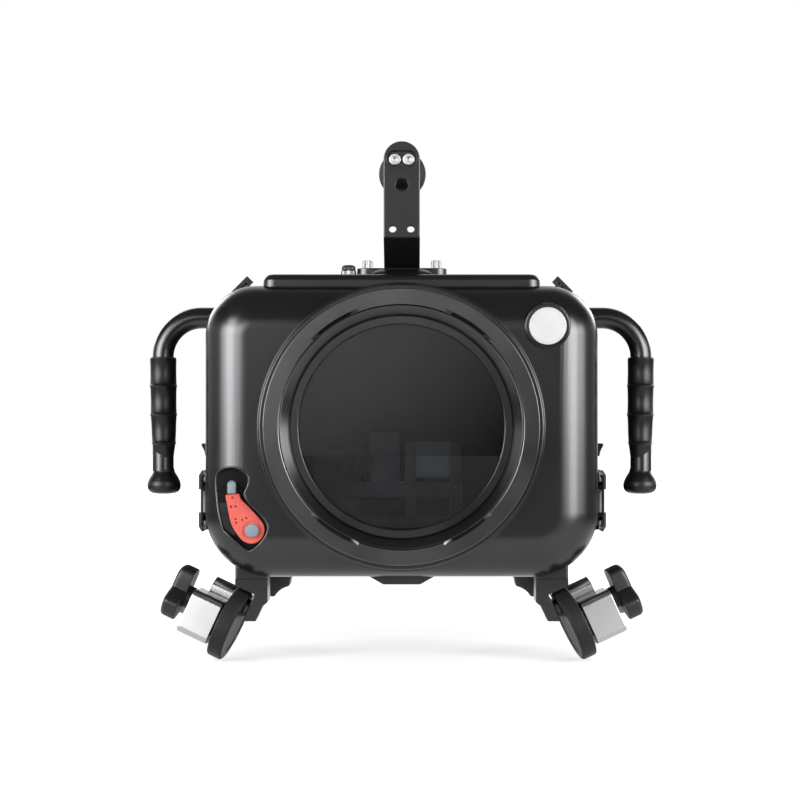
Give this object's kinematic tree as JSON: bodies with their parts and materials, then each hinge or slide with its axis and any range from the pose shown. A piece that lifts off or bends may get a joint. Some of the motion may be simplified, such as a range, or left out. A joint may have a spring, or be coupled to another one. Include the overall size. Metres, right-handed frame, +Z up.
{
  "type": "underwater camera housing",
  "caption": "Two-part underwater housing with a round flat port, side grips, carry handle, draw latches, a sprung lever, lens drive and splayed feet.",
  "frame": {"origin": "on the floor under the middle of the bounding box", "axes": "-Y is the way the port looks, +X is to the right as seen from the front, +Z is up"},
  "size_m": [0.488, 0.2724, 0.4921],
  "materials": {
    "black_housing": "satin black anodised",
    "black_ring": "turned, black anodised",
    "black_moulded": "moulded, slightly satin",
    "rubber": "matte",
    "stainless_steel": "polished",
    "red_lever": "moulded red",
    "grey_plastic": "satin",
    "badge_white": "smooth, bare",
    "port_glass": "clear",
    "window_clear": "clear",
    "grey_inner_metal": "bead blasted"
  },
  "bodies": {
    "housing": {"front_shell": "black_housing", "rear_shell": "black_housing", "main_o_ring": "rubber", "port_mount_flange": "black_ring", "rear_window": "window_clear", "rear_window_frame": "black_ring", "badge_disc": "badge_white", "lever_stop_plate": "black_moulded", "lever_gland": "stainless_steel", "handle_tube_left": "black_housing", "handle_tube_right": "black_housing", "grip_left": "black_moulded", "grip_right": "black_moulded", "carry_base_plate": "black_housing", "carry_front_post": "black_housing", "carry_rear_post": "black_housing", "carry_grip_bar": "black_moulded", "post_screw_left": "stainless_steel", "post_screw_right": "stainless_steel", "base_screw_left": "stainless_steel", "base_screw_right": "stainless_steel", "valve_body": "stainless_steel", "foot_bracket_left": "black_housing", "foot_bracket_right": "black_housing", "foot_disc_left": "rubber", "foot_disc_right": "rubber", "front_weight_left": "stainless_steel", "front_weight_right": "stainless_steel", "rear_weight_left": "stainless_steel", "rear_weight_right": "stainless_steel", "rear_bracket_left": "black_housing", "rear_bracket_right": "black_housing", "rear_leg_left": "stainless_steel", "rear_leg_right": "stainless_steel", "camera_tray": "grey_inner_metal"},
    "port": {"port_barrel": "black_ring", "port_glass": "port_glass", "port_retaining_ring": "black_ring", "port_glass_gasket": "rubber", "port_barrel_o_ring": "rubber"},
    "lever": {"record_lever": "red_lever", "lever_hub_cap": "grey_plastic", "lever_tip_pin": "grey_plastic", "lever_shaft": "stainless_steel"},
    "valve_top": {"valve_cap": "black_moulded"},
    "latch_top_left": {"latch_lever_top_left": "black_housing"},
    "latch_top_right": {"latch_lever_top_right": "black_housing"},
    "latch_side_left": {"latch_lever_side_left": "black_housing"},
    "latch_side_right": {"latch_lever_side_right": "black_housing"},
    "hook_top_left": {"latch_hook_top_left": "stainless_steel"},
    "hook_top_right": {"latch_hook_top_right": "stainless_steel"},
    "hook_side_left": {"latch_hook_side_left": "stainless_steel"},
    "hook_side_right": {"latch_hook_side_right": "stainless_steel"},
    "clamp_left": {"clamp_knob_left": "black_moulded"},
    "clamp_right": {"clamp_knob_right": "black_moulded"},
    "lens_drive": {"drive_shaft": "stainless_steel", "drive_knob": "black_moulded"},
    "lens_wheel": {"lens_gear": "grey_plastic"},
    "button_upper": {"rear_button_upper": "black_moulded"},
    "button_lower": {"rear_button_lower": "black_moulded"}
  },
  "joints": [
    {"name": "port_turn", "type": "hinge", "parent": "housing", "child": "port", "pos_m": [0, -0.12565, 0.21902], "axis": [0, -1, 0], "range_deg": [0, 22]},
    {"name": "lever_press", "type": "hinge", "parent": "housing", "child": "lever", "pos_m": [-0.1358, -0.12165, 0.12512], "axis": [0, -1, 0], "range_deg": [0, 12], "stiffness_Nm_per_rad": 0.2, "springref_deg": -11.46},
    {"name": "valve_cap_turn", "type": "hinge", "parent": "housing", "child": "valve_top", "pos_m": [-0.0505, -0.05065, 0.37242], "axis": [0, 0, 1], "range_deg": [0, 90]},
    {"name": "latch_top_left_open", "type": "hinge", "parent": "housing", "child": "latch_top_left", "pos_m": [-0.17241, 0.03035, 0.34043], "axis": [0.7071, 0, 0.7071], "range_deg": [0, 90]},
    {"name": "latch_top_right_open", "type": "hinge", "parent": "housing", "child": "latch_top_right", "pos_m": [0.17241, 0.03035, 0.34043], "axis": [0.7071, 0, -0.7071], "range_deg": [0, 90]},
    {"name": "latch_side_left_open", "type": "hinge", "parent": "housing", "child": "latch_side_left", "pos_m": [-0.1948, 0.03035, 0.14552], "axis": [0, 0, 1], "range_deg": [0, 90]},
    {"name": "latch_side_right_open", "type": "hinge", "parent": "housing", "child": "latch_side_right", "pos_m": [0.1948, 0.03035, 0.14552], "axis": [0, 0, -1], "range_deg": [0, 90]},
    {"name": "hook_top_left_swing", "type": "hinge", "parent": "latch_top_left", "child": "hook_top_left", "pos_m": [-0.17241, 0.03835, 0.34043], "axis": [0.7071, 0, 0.7071], "range_deg": [-90, 0]},
    {"name": "hook_top_right_swing", "type": "hinge", "parent": "latch_top_right", "child": "hook_top_right", "pos_m": [0.17241, 0.03835, 0.34043], "axis": [0.7071, 0, -0.7071], "range_deg": [-90, 0]},
    {"name": "hook_side_left_swing", "type": "hinge", "parent": "latch_side_left", "child": "hook_side_left", "pos_m": [-0.1948, 0.03835, 0.14552], "axis": [0, 0, 1], "range_deg": [-90, 0]},
    {"name": "hook_side_right_swing", "type": "hinge", "parent": "latch_side_right", "child": "hook_side_right", "pos_m": [0.1948, 0.03835, 0.14552], "axis": [0, 0, -1], "range_deg": [-90, 0]},
    {"name": "clamp_left_turn", "type": "hinge", "parent": "housing", "child": "clamp_left", "pos_m": [-0.20281, -0.0564, 0.05894], "axis": [-0.9043, 0.1045, 0.414], "range_deg": [0, 360]},
    {"name": "clamp_right_turn", "type": "hinge", "parent": "housing", "child": "clamp_right", "pos_m": [0.20281, -0.0564, 0.05894], "axis": [0.9043, 0.1045, 0.414], "range_deg": [0, 360]},
    {"name": "drive_turn", "type": "hinge", "parent": "housing", "child": "lens_drive", "pos_m": [-0.0768, 0.03235, 0.18432], "axis": [0, 1, 0], "range_deg": [-225, 225]},
    {"name": "lens_wheel_turn", "type": "hinge", "parent": "housing", "child": "lens_wheel", "pos_m": [-0.0468, 0.03235, 0.18432], "axis": [0, 1, 0], "range_deg": [-150, 150]},
    {"name": "button_upper_press", "type": "slide", "parent": "housing", "child": "button_upper", "axis": [0, -1, 0], "range_m": [0, 0.003], "stiffness_N_per_m": 200, "springref_m": -0.002},
    {"name": "button_lower_press", "type": "slide", "parent": "housing", "child": "button_lower", "axis": [0, -1, 0], "range_m": [0, 0.003], "stiffness_N_per_m": 200, "springref_m": -0.002}
  ],
  "couplings": [
    {"joint": "hook_top_left_swing", "follows": "latch_top_left_open", "ratio": -1},
    {"joint": "hook_top_right_swing", "follows": "latch_top_right_open", "ratio": -1},
    {"joint": "hook_side_left_swing", "follows": "latch_side_left_open", "ratio": -1},
    {"joint": "hook_side_right_swing", "follows": "latch_side_right_open", "ratio": -1},
    {"joint": "lens_wheel_turn", "follows": "drive_turn", "ratio": -0.66667}
  ]
}
